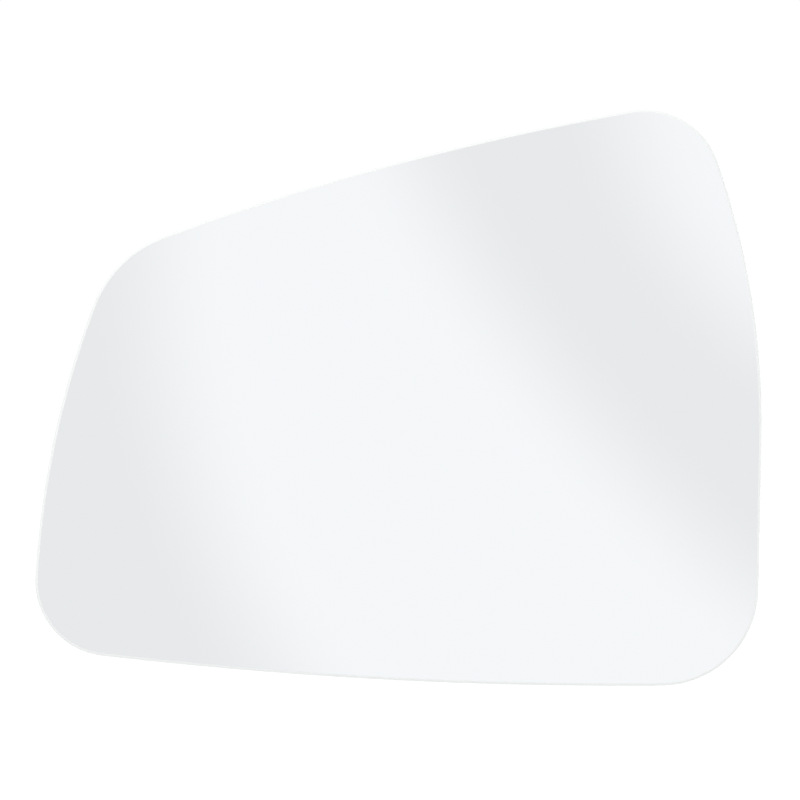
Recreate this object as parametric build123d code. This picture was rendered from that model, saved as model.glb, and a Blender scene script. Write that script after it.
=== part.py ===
from build123d import *
import math
import os

# Sides of the outline, seen from the front, between the points where they would meet if no corner were rounded
LOWER_EDGE_SPAN = 169.5
LOWER_EDGE_FALL = 8.6
LOWER_EDGE_BULGE = 3.3
RIGHT_STRAIGHT_HEIGHT = 57.9
RIGHT_STRAIGHT_LEAN_OUT = 1.1
RIGHT_CURVE_HEIGHT = 78.9
RIGHT_CURVE_LEAN_IN = 16.0
UPPER_EDGE_SPAN = 135.7
UPPER_EDGE_FALL = 36.3
UPPER_EDGE_BULGE = 3.8
LEFT_SIDE_BULGE = 5.2

# Roundings of the four corners
LOWER_LEFT_RADIUS = 17.6
LOWER_RIGHT_RADIUS = 22.8
UPPER_RIGHT_RADIUS = 18.3
UPPER_LEFT_RADIUS = 27.4

# The bent sheet: its thickness, the radius of its convex front and the flat land left round its ground edge
SHEET_THICKNESS = 2.0
FRONT_BEND_RADIUS = 1260.0
EDGE_LAND_WIDTH = 0.8


def pane_outline():
    """The flat outline, X to the right and Y up, centred on its own box."""
    lower_left = Vector(0, 0)
    lower_right = lower_left + Vector(LOWER_EDGE_SPAN, -LOWER_EDGE_FALL)
    right_bend = lower_right + Vector(RIGHT_STRAIGHT_LEAN_OUT, RIGHT_STRAIGHT_HEIGHT)
    upper_right = right_bend + Vector(-RIGHT_CURVE_LEAN_IN, RIGHT_CURVE_HEIGHT)
    upper_left = upper_right - Vector(UPPER_EDGE_SPAN, UPPER_EDGE_FALL)

    # Anticlockwise round the pane, so a negative rise bulges each side outwards
    lower_edge = SagittaArc(lower_left, lower_right, -LOWER_EDGE_BULGE)
    right_straight = Line(lower_right, right_bend)
    right_curve = TangentArc(right_bend, upper_right, tangent=right_straight % 1)
    upper_edge = SagittaArc(upper_right, upper_left, -UPPER_EDGE_BULGE)
    left_side = SagittaArc(upper_left, lower_left, -LEFT_SIDE_BULGE)
    pane = make_face([lower_edge, right_straight, right_curve, upper_edge, left_side])

    corner_radii = (
        (lower_left, LOWER_LEFT_RADIUS),
        (lower_right, LOWER_RIGHT_RADIUS),
        (upper_right, UPPER_RIGHT_RADIUS),
        (upper_left, UPPER_LEFT_RADIUS),
    )
    for corner, radius in corner_radii:
        pane = fillet(pane.vertices().sort_by_distance(corner)[0], radius)

    middle = pane.bounding_box().center()
    return Pos(-middle.X, -middle.Y) * pane


def bent_sheet(pane):
    """The sheet between two spheres of one centre, cut through along Y, the back face's crown at the origin."""
    size = pane.bounding_box().size
    reach = math.hypot(size.X, size.Y) / 2
    edge_drop = FRONT_BEND_RADIUS - math.sqrt(FRONT_BEND_RADIUS**2 - reach**2)
    cutter = extrude(Plane.XZ * pane, amount=SHEET_THICKNESS + edge_drop, both=True)

    bend_centre = Pos(0, FRONT_BEND_RADIUS - SHEET_THICKNESS, 0)
    front_ball = bend_centre * Sphere(FRONT_BEND_RADIUS)
    back_ball = bend_centre * Sphere(FRONT_BEND_RADIUS - SHEET_THICKNESS)
    return (cutter & front_ball) - back_ball


def grind_edges(sheet):
    """The sharp edges of the front and back faces, ground round down to the land between them."""
    rounding = (SHEET_THICKNESS - EDGE_LAND_WIDTH) / 2
    bent_faces = sheet.faces().filter_by(GeomType.SPHERE)
    return fillet(bent_faces.edges(), rounding)


def mirror_glass():
    return grind_edges(bent_sheet(pane_outline()))


os.makedirs("parts", exist_ok=True)
glass = mirror_glass()
export_step(glass, "parts/mirror_glass.step")

box = glass.bounding_box()
print(f"mirror_glass: {box.size.X:.2f} x {box.size.Y:.2f} x {box.size.Z:.2f} mm")
print(f"volume {glass.volume / 1000:.3f} cm3, valid {glass.is_valid}, {len(glass.solids())} solid")
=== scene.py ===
# %% [markdown]
# The glass of a car's door mirror is one pane. A sheet of float glass two millimetres thick is bent to a
# shallow dome, silvered on the back and painted over the silver. The pane is cut from it along a rounded
# outline, and its edge is ground. The packed solid has the pane's form and its place, but its flat facets
# would break up a reflection. This lesson makes the same pane again as a fine, smooth mesh. It gives the
# pane the three finishes of the real one, which are the mirror, the ground edge and the back paint, and
# hangs the studio that the mirror shows.

# %% Load the packed solid
import math

import bmesh
import bpy
import numpy as np
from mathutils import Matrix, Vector
from mathutils.bvhtree import BVHTree


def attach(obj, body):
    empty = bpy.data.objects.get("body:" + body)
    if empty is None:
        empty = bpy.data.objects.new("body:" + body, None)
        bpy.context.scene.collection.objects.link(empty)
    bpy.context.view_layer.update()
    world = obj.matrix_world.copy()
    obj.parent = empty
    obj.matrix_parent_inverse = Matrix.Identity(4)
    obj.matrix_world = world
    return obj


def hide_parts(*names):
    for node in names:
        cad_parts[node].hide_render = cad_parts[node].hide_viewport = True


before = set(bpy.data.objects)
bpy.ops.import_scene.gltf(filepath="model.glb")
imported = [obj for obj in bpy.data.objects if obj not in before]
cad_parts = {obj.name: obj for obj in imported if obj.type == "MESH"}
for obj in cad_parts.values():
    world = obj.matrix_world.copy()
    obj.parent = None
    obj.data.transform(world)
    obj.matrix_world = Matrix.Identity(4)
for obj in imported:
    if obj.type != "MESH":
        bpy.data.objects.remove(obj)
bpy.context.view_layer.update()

MM = 1000  # to a metre

# %% [markdown]
# The outline is what makes one door mirror differ from another: bowed sides, each with its own curve, and
# round corners between them. It could be drawn again from the sizes of its sides, but then it might drift
# away from the solid, so it is read from the solid. The ground edge has a narrow flat land halfway
# through the sheet, and the solid's points on that land are the outline. They are found by their depth:
# the pane is bent round one centre, so a point's distance to that centre says how far below the front it
# lies. Put in order round the pane, the points become a closed Bezier curve, which stays round between
# them.

# %% Find the points on the land
SHEET_THICKNESS = 0.002
BEND_RADIUS = 1.260
EDGE_ROUNDING = 0.0006
BEND_CENTRE = (0, BEND_RADIUS - SHEET_THICKNESS, 0)
MIDDLE_DEPTH = SHEET_THICKNESS / 2
LAND_HALF_WIDTH = MIDDLE_DEPTH - EDGE_ROUNDING
LAND_SLACK = 1.05
MICROMETRE_PLACES = 6

solid_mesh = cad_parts["mirror_glass"].data
solid_points = np.array([vertex.co for vertex in solid_mesh.vertices])
solid_depth = BEND_RADIUS - np.linalg.norm(solid_points - BEND_CENTRE, axis=1)
land_points = solid_points[np.abs(solid_depth - MIDDLE_DEPTH) < LAND_SLACK * LAND_HALF_WIDTH]
rim_points = np.unique(np.round(land_points[:, [0, 2]], MICROMETRE_PLACES), axis=0)
rim_points = rim_points[np.argsort(np.arctan2(rim_points[:, 1], rim_points[:, 0]))]
shallowest, deepest = MM * solid_depth.min(), MM * solid_depth.max()
print(f"the solid lies {shallowest:.3f} to {deepest:.3f} mm below the front dome")

# %% Draw the rim as a closed curve
rim_curve = bpy.data.curves.new("pane_rim", "CURVE")
rim_curve.dimensions = "3D"
rim_line = rim_curve.splines.new("BEZIER")
rim_line.use_cyclic_u = True
rim_line.bezier_points.add(len(rim_points) - 1)
for bezier_point, (x, z) in zip(rim_line.bezier_points, rim_points):
    bezier_point.co = (x, 0, z)
    bezier_point.handle_left_type = "AUTO"
    bezier_point.handle_right_type = "AUTO"
pane_rim = bpy.data.objects.new("pane_rim", rim_curve)
bpy.context.scene.collection.objects.link(pane_rim)
print(f"the rim has {len(rim_points)} points and is {MM * rim_line.calc_length():.1f} mm long")

# %% [markdown]
# Blender's materials and its Geometry Nodes are trees of nodes, and a tree is easier to read as a sum
# than as a list of links. One small class holds a socket. The usual signs between two such sockets, or
# between a socket and a number, add the Math nodes that work the sum out. Every other node comes from one
# method, which sets the node's options before it fills its sockets, because some options change which
# sockets there are.


# %% A wire that does sums
class Wire:
    """A value on its way through a node tree. Arithmetic on it adds Math nodes to that tree."""

    def __init__(self, socket):
        self.socket = socket
        self.tree = socket.id_data

    @staticmethod
    def node(tree, kind, settings=None, sockets=None):
        """Adds one node: its settings first, then a value or a wire for each socket that is named."""
        node = tree.nodes.new(kind)
        for name, value in (settings or {}).items():
            setattr(node, name, value)
        for name, value in (sockets or {}).items():
            if isinstance(value, Wire):
                tree.links.new(value.socket, node.inputs[name])
            else:
                node.inputs[name].default_value = value
        return node

    def maths(self, operation, *others):
        """The Math node for that operation on this wire and the others, if any."""
        return self.maths_on(operation, (self, *others))

    def maths_on(self, operation, values):
        """A Math node in this wire's tree, with its sockets filled in order."""
        node = Wire.node(self.tree, "ShaderNodeMath", {"operation": operation}, dict(enumerate(values)))
        return Wire(node.outputs[0])

    def __add__(self, other):
        return self.maths("ADD", other)

    def __sub__(self, other):
        return self.maths("SUBTRACT", other)

    def __mul__(self, other):
        return self.maths("MULTIPLY", other)

    def __rsub__(self, other):
        return self.maths_on("SUBTRACT", (other, self))

    def __neg__(self):
        return 0 - self

    __radd__ = __add__
    __rmul__ = __mul__

    def climb(self, start, end, smooth=False):
        """0 on the start's side, 1 on the end's side, and between them a straight or a smooth climb."""
        settings = {"interpolation_type": "SMOOTHSTEP" if smooth else "LINEAR"}
        sockets = {"Value": self, "From Min": start, "From Max": end}
        return Wire(Wire.node(self.tree, "ShaderNodeMapRange", settings, sockets).outputs[0])


print("a wire knows:", [name for name in vars(Wire) if not name.startswith("__")])

# %% Vectors and colours
COLOUR_MIX = {"factor": 0, "first": 6, "second": 7, "result": 2}


def vector_maths(operation, first, second, result="Vector"):
    """The Vector Math node for that operation on a wire and a second wire or vector."""
    node = Wire.node(first.tree, "ShaderNodeVectorMath", {"operation": operation}, {0: first, 1: second})
    return Wire(node.outputs[result])


def mixed(factor, first, second):
    """The first colour where the factor is 0 and the second where it is 1."""
    sockets = {COLOUR_MIX["factor"]: factor, COLOUR_MIX["first"]: first, COLOUR_MIX["second"]: second}
    node = Wire.node(factor.tree, "ShaderNodeMix", {"data_type": "RGBA"}, sockets)
    return Wire(node.outputs[COLOUR_MIX["result"]])


print("a colour mix takes its colours at sockets", COLOUR_MIX["first"], "and", COLOUR_MIX["second"])

# %% [markdown]
# A finish is a material whose tree reads where a point lies, makes patterns of that and feeds them to one
# shader. The place comes as Object coordinates. A map of the pane would do as well, but it would have to
# be unwrapped, and its seams could show. The place alone doesn't tell where a border is, so the mesh will
# remember every point's distance from the pane's outline in an attribute of its own. These few helpers
# are all that the finishes share.

# %% Tools for every finish
EDGE_DISTANCE = "edge_distance"


def new_finish(name):
    """A material with an empty tree."""
    finish = bpy.data.materials.new(name)
    finish.use_nodes = True
    finish.node_tree.nodes.clear()
    return finish


def shade(finish, sockets):
    """Gives a material its shader, with a value or a wire for each socket that is named."""
    shader = Wire.node(finish.node_tree, "ShaderNodeBsdfPrincipled", None, sockets)
    Wire.node(finish.node_tree, "ShaderNodeOutputMaterial", None, {"Surface": Wire(shader.outputs[0])})
    print(f"{finish.name} has {len(finish.node_tree.nodes)} nodes")
    return finish


def place_on(finish):
    """Where a point of the piece lies, in metres from the piece's origin."""
    return Wire(Wire.node(finish.node_tree, "ShaderNodeTexCoord").outputs["Object"])


def from_edge(finish):
    """How far a point lies in from the pane's outline, as the pane's mesh remembers it."""
    node = Wire.node(finish.node_tree, "ShaderNodeAttribute", {"attribute_name": EDGE_DISTANCE})
    return Wire(node.outputs["Fac"])


def noise(place, patches=(1, 1, 1), detail=2):
    """Soft noise from 0 to 1, with that many patches to a metre along X, Y and Z."""
    sockets = {"Vector": vector_maths("MULTIPLY", place, patches), "Scale": 1.0, "Detail": detail}
    return Wire(Wire.node(place.tree, "ShaderNodeTexNoise", None, sockets).outputs[0])


print("finishes read the place on the pane and the attribute", EDGE_DISTANCE)

# %% [markdown]
# A mirror has almost no colour of its own. Silver behind glass gives back nearly all light, a little less
# of the red than of the blue, and that is the whole of the cool white in the picture. It could be made as
# clear glass over a silver sheet, but a viewer that can't draw glass would then show no mirror. A metal
# under a clear coat gives the same picture in one surface: the metal is the silver, and the coat is the
# polished glass over it. A pane wiped with a cloth keeps a faint haze in soft patches, and the silver is
# a trace duller along its border. Both stay out of the bump, because the smallest bump would bend the
# reflection, and this pane reflects straight.

# %% The silvered front
SILVER = (0.909, 0.927, 0.945, 1)
SILVER_AT_BORDER = (0.906, 0.924, 0.942, 1)
SILVER_BORDER_WIDTH = 0.0008
HAZE_PATCHES = (18, 18, 30)
HAZE_RANGE = (0.45, 0.75)
CLEAN_ROUGHNESS = 0.01
HAZE_ROUGHNESS = 0.02


def silvered_front():
    """Silver behind polished glass, with a wiping haze."""
    finish = new_finish("silvered_front")
    haze = noise(place_on(finish), HAZE_PATCHES, detail=3).climb(*HAZE_RANGE, smooth=True)
    border = from_edge(finish).climb(EDGE_ROUNDING + SILVER_BORDER_WIDTH, EDGE_ROUNDING, smooth=True)
    return shade(finish, {
        "Base Color": mixed(border, SILVER, SILVER_AT_BORDER),
        "Metallic": 1.0,
        "Roughness": CLEAN_ROUGHNESS + HAZE_ROUGHNESS * haze,
        "Coat Weight": 1.0,
        "Coat Roughness": 0.0,
    })


mirror_finish = silvered_front()

# %% [markdown]
# The edge is ground with a diamond wheel, which leaves it frosted. The two roundings are pale, and the
# land between them is greener, because there the light has come a long way through the glass. The wheel
# runs along the edge, so its fine marks do too. They could follow a map of the edge, but that needs a
# seam somewhere. Depth in the sheet is the same all along the edge: noise that changes fast with depth
# and slowly with place draws such marks with no map.

# %% Marks of the grinding wheel
MARKS_IN_DEPTH = 9000
MARKS_ALONG = (60, 60, 60)


def joined(tree, x=0.0, y=0.0, z=0.0):
    """A vector made of three wires or numbers."""
    return Wire(Wire.node(tree, "ShaderNodeCombineXYZ", None, {"X": x, "Y": y, "Z": z}).outputs[0])


def depth_at(place):
    """How far below the front dome a place lies."""
    return BEND_RADIUS - vector_maths("DISTANCE", place, BEND_CENTRE, "Value")


def wheel_marks(place):
    """Noise that changes fast with depth and slowly along the edge."""
    in_depth = joined(place.tree, x=MARKS_IN_DEPTH * depth_at(place))
    along = vector_maths("MULTIPLY", place, MARKS_ALONG)
    return noise(vector_maths("ADD", in_depth, along), detail=3)


print(f"the wheel leaves about {MARKS_IN_DEPTH * SHEET_THICKNESS:.0f} marks across the sheet's thickness")

# %% The ground edge
FROST = (0.873, 0.890, 0.883, 1)
DEEP_GLASS = (0.42, 0.58, 0.52, 1)
LAND_FADE = (1.6 * LAND_HALF_WIDTH, 0.6 * LAND_HALF_WIDTH)
GREEN_LEVEL = 0.7
GREEN_IN_MARKS = 0.5
GRIT_PATCHES = (6000, 6000, 6000)
GROUND_ROUGHNESS = 0.42
GRIT_ROUGHNESS = 0.2
LAND_SHINE = 0.1
MARK_RELIEF = 0.000007
GRIT_RELIEF = 0.000003


def bump(height):
    """A bump that stands so high, in metres."""
    node = Wire.node(height.tree, "ShaderNodeBump", None, {"Distance": 1.0, "Height": height})
    return Wire(node.outputs[0])


def ground_edge():
    """Frosted glass, greener on the land, with marks of the wheel along it."""
    finish = new_finish("ground_edge")
    place = place_on(finish)
    marks = wheel_marks(place)
    grit = noise(place, GRIT_PATCHES, detail=1)
    land = (depth_at(place) - MIDDLE_DEPTH).maths("ABSOLUTE").climb(*LAND_FADE, smooth=True)
    return shade(finish, {
        "Base Color": mixed(land * (GREEN_LEVEL + GREEN_IN_MARKS * marks), FROST, DEEP_GLASS),
        "Roughness": GROUND_ROUGHNESS + GRIT_ROUGHNESS * grit - LAND_SHINE * land,
        "Normal": bump(MARK_RELIEF * marks + GRIT_RELIEF * grit),
    })


edge_finish = ground_edge()

# %% [markdown]
# Bare silver would tarnish, so it is covered with lacquer, poured on as a curtain while the sheet runs
# by. The lacquer dries to a dark grey satin with a fine orange peel, and the curtain leaves faint streaks
# along the way that the sheet ran. Panes are laid out slantwise on a sheet to save glass, so the streaks
# cross a pane at a slant. The wheel that grinds the edge chips the lacquer's border here and there. All
# this could be painted by hand on a map. Noise at the right scale does it with no map, and the distance
# from the edge, which the mesh remembers, keeps the chips at the border.

# %% The lacquer
LACQUER = (0.044, 0.047, 0.052, 1)
LACQUER_THIN = (0.074, 0.077, 0.082, 1)
RUN_SLANT = math.radians(14)
STREAK_PATCHES = (3, 3, 160)
STREAK_RANGE = (0.35, 0.7)
STREAK_SHARE = 0.6
CLOUD_PATCHES = (25, 25, 25)
SATIN_ROUGHNESS = 0.14
CLOUD_ROUGHNESS = 0.08
STREAK_ROUGHNESS = 0.05


def slanted(place, angle):
    """A place turned about the pane's middle, in the pane's own plane."""
    sockets = {"Vector": place, "Rotation": (0, angle, 0)}
    return Wire(Wire.node(place.tree, "ShaderNodeMapping", None, sockets).outputs[0])


def lacquer(place):
    """The colour and the roughness of the lacquer, with its streaks and clouds."""
    streaks = noise(slanted(place, RUN_SLANT), STREAK_PATCHES, detail=4).climb(*STREAK_RANGE, smooth=True)
    clouds = noise(place, CLOUD_PATCHES, detail=3)
    thin = STREAK_SHARE * streaks + (1 - STREAK_SHARE) * clouds
    roughness = SATIN_ROUGHNESS + CLOUD_ROUGHNESS * clouds + STREAK_ROUGHNESS * streaks
    return mixed(thin, LACQUER, LACQUER_THIN), roughness


print(f"the curtain's streaks run at {math.degrees(RUN_SLANT):.0f} degrees")

# %% The back paint
PEEL_PATCHES = (520, 520, 520)
PEEL_RELIEF = 0.000025
CHIPPED_BORDER = (0.42, 0.44, 0.44, 1)
CHIP_PATCHES = (600, 600, 600)
CHIP_RANGE = (0.58, 0.8)
CHIP_REACH = 0.001
CHIP_BLUR = 0.0001
CHIP_ROUGHNESS = 0.3


def back_paint():
    """Lacquer with an orange peel and a chipped border."""
    finish = new_finish("back_paint")
    place = place_on(finish)
    colour, roughness = lacquer(place)
    peel = noise(place, PEEL_PATCHES, detail=1.5)
    chip_line = EDGE_ROUNDING + CHIP_REACH * noise(place, CHIP_PATCHES).climb(*CHIP_RANGE)
    chipped = (from_edge(finish) - chip_line).climb(CHIP_BLUR, 0)
    return shade(finish, {
        "Base Color": mixed(chipped, colour, CHIPPED_BORDER),
        "Roughness": roughness + CHIP_ROUGHNESS * chipped,
        "Normal": bump(PEEL_RELIEF * peel),
    })


paint_finish = back_paint()

# %% [markdown]
# The pane's shape follows a rule, so Geometry Nodes can make it. It takes the steps of a glass works, but
# in another order: a flat pane is easier to cut than a bent one, so the bend comes last. A bevelled and
# bent plane would do it too, but its corners would wrinkle where the bevels meet. Here the mesh is one
# sheet of rows and columns wrapped round the pane. The columns go once round the rim. The rows start in
# the middle of the front, run out to the edge, turn over a rounding, cross the land, turn over the second
# rounding and end in the middle of the back. The tree's inputs are the sheet's sizes, so another
# thickness or bend needs no other tree.

# %% The tree and its inputs
pane_tree = bpy.data.node_groups.new("pane_from_rim", "GeometryNodeTree")
pane_tree.interface.new_socket("Pane", in_out="OUTPUT", socket_type="NodeSocketGeometry")
pane_tree.interface.new_socket("Rim", in_out="INPUT", socket_type="NodeSocketGeometry")
sheet_sizes = {"Thickness": SHEET_THICKNESS, "Bend Radius": BEND_RADIUS, "Edge Rounding": EDGE_ROUNDING}
size_sockets = {
    name: pane_tree.interface.new_socket(name, in_out="INPUT", socket_type="NodeSocketFloat").identifier
    for name in sheet_sizes
}
given = Wire.node(pane_tree, "NodeGroupInput")
rim = Wire(given.outputs["Rim"])
thickness, bend_radius, rounding = (Wire(given.outputs[name]) for name in sheet_sizes)
print("the tree's inputs:", size_sockets)

# %% Rows and columns
RIM_COLUMNS = 480
FACE_ROWS = 28
ROUNDING_ROWS = 8
FRONT_EDGE = FACE_ROWS
LAND_START = FRONT_EDGE + ROUNDING_ROWS
LAND_END = LAND_START + 1
BACK_EDGE = LAND_END + ROUNDING_ROWS
LAST_ROW = BACK_EDGE + FACE_ROWS


def parts_of(vector):
    """The X, Y and Z of a vector, each as a wire."""
    node = Wire.node(vector.tree, "ShaderNodeSeparateXYZ", None, {0: vector})
    return [Wire(output) for output in node.outputs]


sheet = Wire.node(pane_tree, "GeometryNodeMeshGrid", None, {
    "Size X": 1, "Vertices X": RIM_COLUMNS + 1, "Size Y": LAST_ROW, "Vertices Y": LAST_ROW + 1})
on_sheet_x, on_sheet_y, _ = parts_of(Wire(Wire.node(pane_tree, "GeometryNodeInputPosition").outputs[0]))
round_rim = 0.5 - on_sheet_x
row = on_sheet_y + LAST_ROW / 2
print(f"the sheet has {RIM_COLUMNS} columns and {LAST_ROW} rows")

# %% [markdown]
# The section is a sum of climbs. Each stretch of rows, such as the first rounding, is a climb from 0 to 1
# that stays at its end outside the stretch. How far a row lies in from the outline and how deep in the
# sheet are then one line each. On the two faces the rows crowd towards the edge, by a square, because a
# smooth surface bends the reflection wherever its last row before a rounding lies too far in.

# %% Grind the section
QUARTER_TURN = math.pi / 2

front_turn = QUARTER_TURN * row.climb(FRONT_EDGE, LAND_START)
back_turn = QUARTER_TURN * row.climb(LAND_END, BACK_EDGE)
over_land = row.climb(LAND_START, LAND_END)
inset = rounding * (2 - front_turn.maths("SINE") - back_turn.maths("COSINE"))
turned = rounding * (1 - front_turn.maths("COSINE") + back_turn.maths("SINE"))
depth = turned + over_land * (thickness - 2 * rounding)
to_middle = row.climb(FRONT_EDGE, 0) + row.climb(BACK_EDGE, LAST_ROW)
to_middle = to_middle * to_middle
print(f"{ROUNDING_ROWS} rows turn over each rounding")


# %% Cut along the rim
def scaled(vector, scale):
    """A vector made longer or shorter by a wire or a number."""
    sockets = {0: vector, "Scale": scale}
    node = Wire.node(vector.tree, "ShaderNodeVectorMath", {"operation": "SCALE"}, sockets)
    return Wire(node.outputs["Vector"])


rim_sample = Wire.node(pane_tree, "GeometryNodeSampleCurve", {"mode": "FACTOR", "use_all_curves": True},
                       {"Curves": rim, "Factor": round_rim})
heading_x, _, heading_z = parts_of(Wire(rim_sample.outputs["Tangent"]))
inward = joined(pane_tree, x=-heading_z, z=heading_x)
edge_place = vector_maths("ADD", Wire(rim_sample.outputs["Position"]), scaled(inward, inset))
half_width = -vector_maths("DOT_PRODUCT", edge_place, inward, "Value")
edge_distance = inset + to_middle * half_width
flat_x, _, flat_z = parts_of(scaled(edge_place, 1 - to_middle))
print("each column starts at a place on the rim and runs to the middle")

# %% Bend the sheet
own_radius = bend_radius - depth
dome_height = (own_radius * own_radius - flat_x * flat_x - flat_z * flat_z).maths("SQRT")
bent_place = joined(pane_tree, flat_x, bend_radius - thickness - dome_height, flat_z)
print("a place moves along Y to the dome of its own depth")

# %% Close it and lay on the finishes
SEAM_GAP = 2e-6


def next_step(kind, geometry, sockets, settings=None):
    """The geometry after one more node."""
    return Wire(Wire.node(pane_tree, kind, settings, {"Geometry": geometry, **sockets}).outputs[0])


row_keeper = Wire.node(pane_tree, "GeometryNodeCaptureAttribute", {"domain": "FACE"},
                       {"Geometry": Wire(sheet.outputs["Mesh"])})
row_keeper.capture_items.new("FLOAT", "Row")
pane_tree.links.new(row.socket, row_keeper.inputs["Row"])
face_row = Wire(row_keeper.outputs["Row"])
on_front = face_row.maths("LESS_THAN", FRONT_EDGE)
on_back = face_row.maths("GREATER_THAN", BACK_EDGE)

made = Wire(row_keeper.outputs["Geometry"])
made = next_step("GeometryNodeStoreNamedAttribute", made, {"Name": EDGE_DISTANCE, "Value": edge_distance},
                 {"data_type": "FLOAT", "domain": "POINT"})
made = next_step("GeometryNodeSetPosition", made, {"Position": bent_place})
made = next_step("GeometryNodeMergeByDistance", made, {"Distance": SEAM_GAP})
made = next_step("GeometryNodeSetShadeSmooth", made, {})
made = next_step("GeometryNodeRealizeInstances", made, {})
made = next_step("GeometryNodeSetMaterial", made, {"Material": edge_finish})
made = next_step("GeometryNodeSetMaterial", made, {"Material": mirror_finish, "Selection": on_front})
made = next_step("GeometryNodeSetMaterial", made, {"Material": paint_finish, "Selection": on_back})
Wire.node(pane_tree, "NodeGroupOutput", None, {"Pane": made})
print(f"the tree has {len(pane_tree.nodes)} nodes")

# %% [markdown]
# The tree runs as a modifier on the rim's curve, and its inputs are set by their sockets' identifiers
# before it runs for the first time. The modifier could stay on, but other programs can't run the tree. So
# the result is copied out as a plain mesh, and the modifier and the curve go.

# %% Make the pane a plain mesh
modifier = pane_rim.modifiers.new("pane_from_rim", "NODES")
modifier.node_group = pane_tree
for name, size in sheet_sizes.items():
    modifier[size_sockets[name]] = size
shapes = bpy.context.evaluated_depsgraph_get()
pane_mesh = bpy.data.meshes.new_from_object(pane_rim.evaluated_get(shapes))
pane_mesh.materials.pop(index=0)  # the sheet's own empty slot
pane_rim.modifiers.remove(modifier)
bpy.data.objects.remove(pane_rim)

door_mirror_glass = bpy.data.objects.new("door_mirror_glass", pane_mesh)
bpy.context.scene.collection.objects.link(door_mirror_glass)
print(f"the pane has {len(pane_mesh.polygons)} faces in {[finish.name for finish in pane_mesh.materials]}")

# %% [markdown]
# The fine pane takes the solid's place, so it has to keep the solid's form. Three measures show that it
# does: the volume, which is positive only if the faces point outwards, the number of open edges, which
# is nought if the pane is closed, and the largest distance from any point of the solid to the fine pane.

# %% Set the pane in the frame
CM3 = 1e6  # to a cubic metre

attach(door_mirror_glass, "root")
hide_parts("mirror_glass")

measured = bmesh.new()
measured.from_mesh(pane_mesh)
open_edges = sum(not edge.is_manifold for edge in measured.edges)
print(f"volume {CM3 * measured.calc_volume(signed=True):.3f} cm3, {open_edges} open edges")
surface = BVHTree.FromBMesh(measured)
stray = max(surface.find_nearest(Vector(point))[3] for point in solid_points)
print(f"no point of the solid is more than {MM * stray:.3f} mm from the fine pane")
measured.free()

# %% [markdown]
# A mirror shows the room, so the room makes half of the picture. The pane stands in a tent of pale cloth.
# A white reflector hangs on the camera's right. A grey flag in front of it stops short of one side, and
# in the pane that makes a grey band between two bright fields. They could be cards built in the scene,
# but only reflections have to see them, so each is a soft disc on the world, known by its direction from
# the pane. The dome bends the picture of every straight edge, so a disc is also the right form.

# %% Hang the tent
TENT_GREY = 0.877

scene = bpy.context.scene
tent = bpy.data.worlds.new("pale_tent")
scene.world = tent
tent.use_nodes = True
tent_tree = tent.node_tree
tent_tree.nodes.clear()
looking = Wire(Wire.node(tent_tree, "ShaderNodeTexCoord").outputs["Generated"])


def towards(azimuth, elevation):
    """A direction from the pane, in degrees to the right of its front and above the level."""
    turn, lift = math.radians(azimuth), math.radians(elevation)
    return (math.sin(turn) * math.cos(lift), -math.cos(turn) * math.cos(lift), math.sin(lift))


def disc(azimuth, elevation, radius, soft_edge):
    """1 on a round card that hangs in that direction, 0 beside it. All in degrees."""
    angle = vector_maths("DOT_PRODUCT", looking, towards(azimuth, elevation), "Value").maths("ARCCOSINE")
    return angle.climb(math.radians(radius + soft_edge), math.radians(radius - soft_edge), smooth=True)


reflector = disc(azimuth=18.3, elevation=5.2, radius=26.2, soft_edge=2.4)
flag = disc(azimuth=37.6, elevation=23.2, radius=38.9, soft_edge=2.2)
beside_flag = disc(azimuth=18.7, elevation=11.1, radius=11.3, soft_edge=2.3)
white = reflector * (1 - flag * (1 - beside_flag))
print(f"cloth {TENT_GREY} with a white reflector and a flag")

# %% [markdown]
# From the side the pane mirrors other parts of the tent, and plain cloth would leave it a flat grey
# there. So one more white card stands on each side, a little lower, with a strip of cloth across it, and
# the cloth gets darker towards the floor and the back. The pane then reads as a mirror from every side.
# Behind it hangs a softbox, which gives the lacquer its sheen.

# %% Stand more cards round the pane
SIDE_WHITE = 0.7
LOW_DIMMING = 0.5
LOW_RANGE = (-0.17, -0.85)
BACK_DIMMING = 0.45
BACK_RANGE = (-0.5, 0.6)
SOFTBOX_LEVEL = 2.8

for side in (-1, 1):
    card = disc(azimuth=48 * side, elevation=-20, radius=30, soft_edge=1.5)
    strip_end = disc(azimuth=95 * side, elevation=20, radius=68, soft_edge=0.8)
    strip_start = disc(azimuth=95 * side, elevation=20, radius=60, soft_edge=0.8)
    white = white.maths("MAXIMUM", SIDE_WHITE * card * (1 - strip_end + strip_start))
softbox = disc(azimuth=120, elevation=5, radius=25, soft_edge=5)
_, backward, upward = parts_of(looking)
dimmed_low = 1 - LOW_DIMMING * upward.climb(*LOW_RANGE, smooth=True)
dimmed_back = 1 - BACK_DIMMING * backward.climb(*BACK_RANGE, smooth=True)
cloth = TENT_GREY * dimmed_low * dimmed_back
mirrored_tent = cloth + (1 - cloth) * white + SOFTBOX_LEVEL * softbox
print(f"the tent has {len(tent_tree.nodes)} nodes")

# %% [markdown]
# The tent does three things, so it answers three kinds of ray. The camera sees plain white round the
# pane. Reflections see the cloth with its cards. Everything else is lit by an even level, at which a
# colour renders about as it is written.

# %% What each ray sees
BACKDROP_WHITE = 1.02
TENT_LEVEL = 0.74

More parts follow.
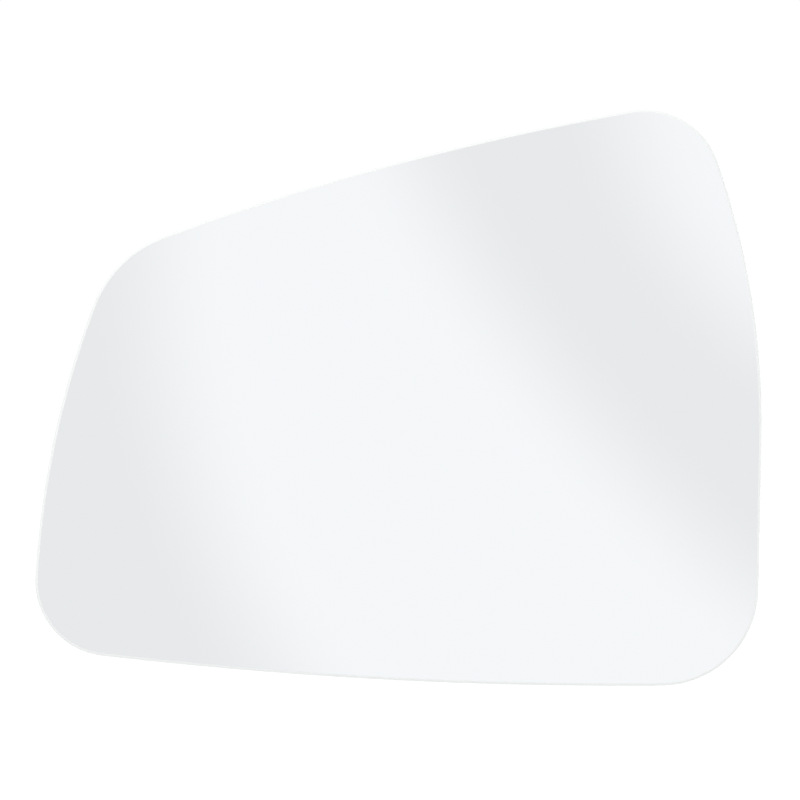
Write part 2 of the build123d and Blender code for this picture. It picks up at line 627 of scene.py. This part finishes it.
rays = Wire.node(tent_tree, "ShaderNodeLightPath")
of_camera = Wire(rays.outputs["Is Camera Ray"])
of_mirror = Wire(rays.outputs["Is Glossy Ray"]).maths("MAXIMUM", Wire(rays.outputs["Is Transmission Ray"]))
level = BACKDROP_WHITE * of_camera + mirrored_tent * of_mirror + TENT_LEVEL * (1 - of_camera - of_mirror)
glow = Wire.node(tent_tree, "ShaderNodeBackground", None, {"Strength": level, "Color": (1, 1, 1, 1)})
Wire.node(tent_tree, "ShaderNodeOutputWorld", None, {"Surface": Wire(glow.outputs[0])})
scene.view_settings.view_transform = "Standard"
print("backdrop", BACKDROP_WHITE, "light", TENT_LEVEL)

# %% [markdown]
# Under the pane lies white paper, low enough that the photograph's view has no shadow in it, and one wide
# lamp above and to the left gives the shadow that other views have. The lamp is a sun, because a near
# lamp would leave the far paper grey. Neither shows in the mirror: the tent does.

# %% Lay the paper
PAPER_HEIGHT = -0.12
PAPER_REACH = 6.0
PAPER_WHITE = (0.97, 0.97, 0.97, 1)

paper_corners = [(-1, -1), (1, -1), (1, 1), (-1, 1)]
paper_points = [(PAPER_REACH * x, PAPER_REACH * y, PAPER_HEIGHT) for x, y in paper_corners]
paper_mesh = bpy.data.meshes.new("paper")
paper_mesh.from_pydata(paper_points, [], [range(len(paper_points))])
paper_mesh.materials.append(shade(new_finish("white_paper"), {
    "Base Color": PAPER_WHITE,
    "Roughness": 1.0,
    "Specular IOR Level": 0.0,
}))
paper = bpy.data.objects.new("paper", paper_mesh)
paper.visible_glossy = False
scene.collection.objects.link(paper)

# %% Hang the lamp
LAMP_STRENGTH = 1.2
LAMP_WIDTH = 60
LAMP_AZIMUTH, LAMP_ELEVATION = -30, 65

lamp_light = bpy.data.lights.new("wide_lamp", "SUN")
lamp_light.energy = LAMP_STRENGTH
lamp_light.angle = math.radians(LAMP_WIDTH)
wide_lamp = bpy.data.objects.new("wide_lamp", lamp_light)
to_lamp = Vector(towards(LAMP_AZIMUTH, LAMP_ELEVATION))
wide_lamp.rotation_euler = to_lamp.to_track_quat("Z", "Y").to_euler()
wide_lamp.visible_glossy = False
scene.collection.objects.link(wide_lamp)
print(f"the lamp is {LAMP_WIDTH} degrees wide and stands {LAMP_ELEVATION} degrees up")

# %% [markdown]
# The photograph looks straight at the pane with a long lens. The pane's size in it gives the pixels to a
# metre, and with the distance that gives the lens. The outline's middle isn't quite the picture's middle,
# so the camera stands a fraction of a millimetre aside instead of being shifted.

# %% Set up the camera
PICTURE_PIXELS = 800
PIXELS_PER_METRE = 4263.0
OUTLINE_MIDDLE = (398.4, 397.7)
CAMERA_DISTANCE = 1.2
SENSOR_WIDTH = 36

picture_width = PICTURE_PIXELS / PIXELS_PER_METRE
camera_to_rim = CAMERA_DISTANCE + land_points[:, 1].mean()
lens = bpy.data.cameras.new("long_lens")
lens.sensor_width = SENSOR_WIDTH
lens.lens = SENSOR_WIDTH * camera_to_rim / picture_width
camera = bpy.data.objects.new("camera", lens)
aside = (PICTURE_PIXELS / 2 - OUTLINE_MIDDLE[0]) / PIXELS_PER_METRE
above = (OUTLINE_MIDDLE[1] - PICTURE_PIXELS / 2) / PIXELS_PER_METRE
camera.location = (aside, -CAMERA_DISTANCE, above)
camera.rotation_euler = (QUARTER_TURN, 0, 0)
scene.collection.objects.link(camera)
scene.camera = camera
print(f"the lens is {lens.lens:.0f} mm long and the picture {MM * picture_width:.1f} mm wide at the rim")

# %% [markdown]
